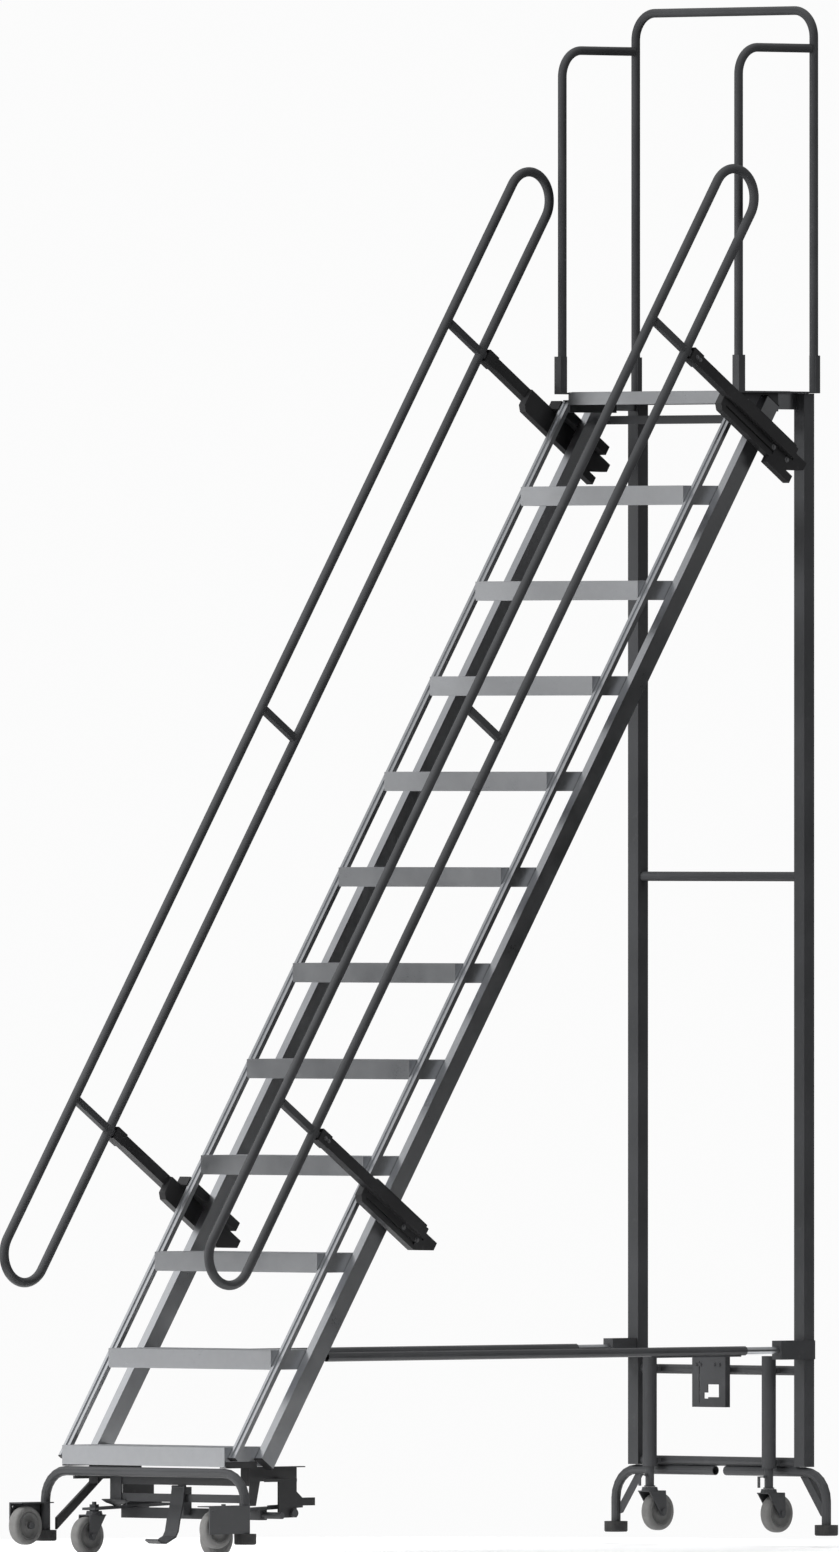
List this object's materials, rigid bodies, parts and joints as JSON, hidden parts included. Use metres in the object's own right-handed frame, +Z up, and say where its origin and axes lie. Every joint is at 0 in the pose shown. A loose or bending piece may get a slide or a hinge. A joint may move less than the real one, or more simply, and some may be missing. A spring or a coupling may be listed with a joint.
{
  "type": "rolling platform ladder",
  "caption": "Rolling platform ladder with stair treads, telescoping handrail loops, guard rails round a top platform, and a wheeled base with sprung casters.",
  "frame": {"origin": "middle of the footprint, at the level of the lowest point, the front casters' treads", "axes": "+Z up; the climber faces +Y, so the stair rises towards +Y; +X is the climber's right"},
  "size_m": [0.8524, 2.3556, 4.1132],
  "materials": {
    "dark_steel": "satin dark grey paint",
    "aluminium": "mill finish, lightly brushed",
    "wheel_poly": "grey moulded wheel",
    "rubber": "matt black rubber"
  },
  "bodies": {
    "ladder": {"front_rail_left": "aluminium", "back_rail_left": "aluminium", "front_rail_right": "aluminium", "back_rail_right": "aluminium", "step_01": "aluminium", "step_02": "aluminium", "step_03": "aluminium", "step_04": "aluminium", "step_05": "aluminium", "step_06": "aluminium", "step_07": "aluminium", "step_08": "aluminium", "step_09": "aluminium", "step_10": "aluminium", "step_11": "aluminium", "platform": "aluminium", "platform_cross_bar": "dark_steel", "guard_rail_rear": "dark_steel", "guard_rail_left": "dark_steel", "guard_rail_right": "dark_steel", "rear_post_left": "dark_steel", "rear_post_right": "dark_steel", "rear_cross_bar": "dark_steel", "latch_cross_bar": "dark_steel", "rear_base": "dark_steel", "rear_foot_left": "rubber", "rear_foot_right": "rubber", "post_bracket_left": "dark_steel", "post_bracket_right": "dark_steel", "brace_rod_left": "aluminium", "brace_rod_right": "aluminium", "brace_tube_left": "dark_steel", "brace_tube_right": "dark_steel", "caster_housing_left": "dark_steel", "caster_housing_right": "dark_steel", "front_base": "dark_steel", "front_foot_left": "rubber", "front_foot_right": "rubber", "base_side_left": "dark_steel", "base_side_right": "dark_steel", "handrail_sleeve_upper_left": "dark_steel", "handrail_sleeve_lower_left": "dark_steel", "handrail_sleeve_upper_right": "dark_steel", "handrail_sleeve_lower_right": "dark_steel"},
    "handrail_left": {"handrail_left": "dark_steel"},
    "handrail_right": {"handrail_right": "dark_steel"},
    "caster_frame": {"caster_frame": "dark_steel"},
    "release_pedal": {"release_pedal": "dark_steel"},
    "front_yoke_left": {"front_yoke_left": "dark_steel"},
    "front_wheel_left": {"front_wheel_left": "wheel_poly"},
    "caster_stem_left": {"caster_stem_left": "dark_steel"},
    "rear_yoke_left": {"rear_yoke_left": "dark_steel"},
    "rear_wheel_left": {"rear_wheel_left": "wheel_poly"},
    "tilt_wheel_left": {"tilt_wheel_left": "wheel_poly"},
    "front_yoke_right": {"front_yoke_right": "dark_steel"},
    "front_wheel_right": {"front_wheel_right": "wheel_poly"},
    "caster_stem_right": {"caster_stem_right": "dark_steel"},
    "rear_yoke_right": {"rear_yoke_right": "dark_steel"},
    "rear_wheel_right": {"rear_wheel_right": "wheel_poly"},
    "tilt_wheel_right": {"tilt_wheel_right": "wheel_poly"}
  },
  "joints": [
    {"name": "caster_frame_hinge", "type": "hinge", "parent": "ladder", "child": "caster_frame", "pos_m": [0, -0.76385, 0.11437], "axis": [-1, 0, 0], "range_deg": [0, 10.3], "stiffness_Nm_per_rad": 120, "springref_deg": -63.03},
    {"name": "release_pedal_hinge", "type": "hinge", "parent": "caster_frame", "child": "release_pedal", "pos_m": [0.02, -0.91585, 0.18177], "axis": [1, 0, 0], "range_deg": [0, 12], "stiffness_Nm_per_rad": 3, "springref_deg": -17.19},
    {"name": "front_swivel_left", "type": "hinge", "parent": "caster_frame", "child": "front_yoke_left", "pos_m": [-0.2427, -0.97085, 0.11607], "axis": [0, 0, 1], "continuous": true},
    {"name": "front_spin_left", "type": "hinge", "parent": "front_yoke_left", "child": "front_wheel_left", "pos_m": [-0.2427, -0.99685, 0.05037], "axis": [1, 0, 0], "continuous": true},
    {"name": "front_swivel_right", "type": "hinge", "parent": "caster_frame", "child": "front_yoke_right", "pos_m": [0.2427, -0.97085, 0.11607], "axis": [0, 0, 1], "continuous": true},
    {"name": "front_spin_right", "type": "hinge", "parent": "front_yoke_right", "child": "front_wheel_right", "pos_m": [0.2427, -0.99685, 0.05037], "axis": [1, 0, 0], "continuous": true},
    {"name": "rear_stem_slide_left", "type": "slide", "parent": "ladder", "child": "caster_stem_left", "axis": [0, 0, 1], "range_m": [0, 0.018], "stiffness_N_per_m": 1500, "springref_m": -0.05},
    {"name": "rear_swivel_left", "type": "hinge", "parent": "caster_stem_left", "child": "rear_yoke_left", "pos_m": [-0.2235, 1.09745, 0.15297], "axis": [0, 0, 1], "continuous": true},
    {"name": "rear_spin_left", "type": "hinge", "parent": "rear_yoke_left", "child": "rear_wheel_left", "pos_m": [-0.2235, 1.12745, 0.08697], "axis": [1, 0, 0], "continuous": true},
    {"name": "rear_stem_slide_right", "type": "slide", "parent": "ladder", "child": "caster_stem_right", "axis": [0, 0, 1], "range_m": [0, 0.018], "stiffness_N_per_m": 1500, "springref_m": -0.05},
    {"name": "rear_swivel_right", "type": "hinge", "parent": "caster_stem_right", "child": "rear_yoke_right", "pos_m": [0.2235, 1.09745, 0.15297], "axis": [0, 0, 1], "continuous": true},
    {"name": "rear_spin_right", "type": "hinge", "parent": "rear_yoke_right", "child": "rear_wheel_right", "pos_m": [0.2235, 1.12745, 0.08697], "axis": [1, 0, 0], "continuous": true},
    {"name": "tilt_spin_left", "type": "hinge", "parent": "ladder", "child": "tilt_wheel_left", "pos_m": [-0.358, -1.11265, 0.07727], "axis": [1, 0, 0], "continuous": true},
    {"name": "tilt_spin_right", "type": "hinge", "parent": "ladder", "child": "tilt_wheel_right", "pos_m": [0.358, -1.11265, 0.07727], "axis": [1, 0, 0], "continuous": true},
    {"name": "handrail_slide_left", "type": "slide", "parent": "ladder", "child": "handrail_left", "axis": [0, -0.8291, 0.5591], "range_m": [0, 0.19]},
    {"name": "handrail_slide_right", "type": "slide", "parent": "ladder", "child": "handrail_right", "axis": [0, -0.8291, 0.5591], "range_m": [0, 0.19]}
  ]
}
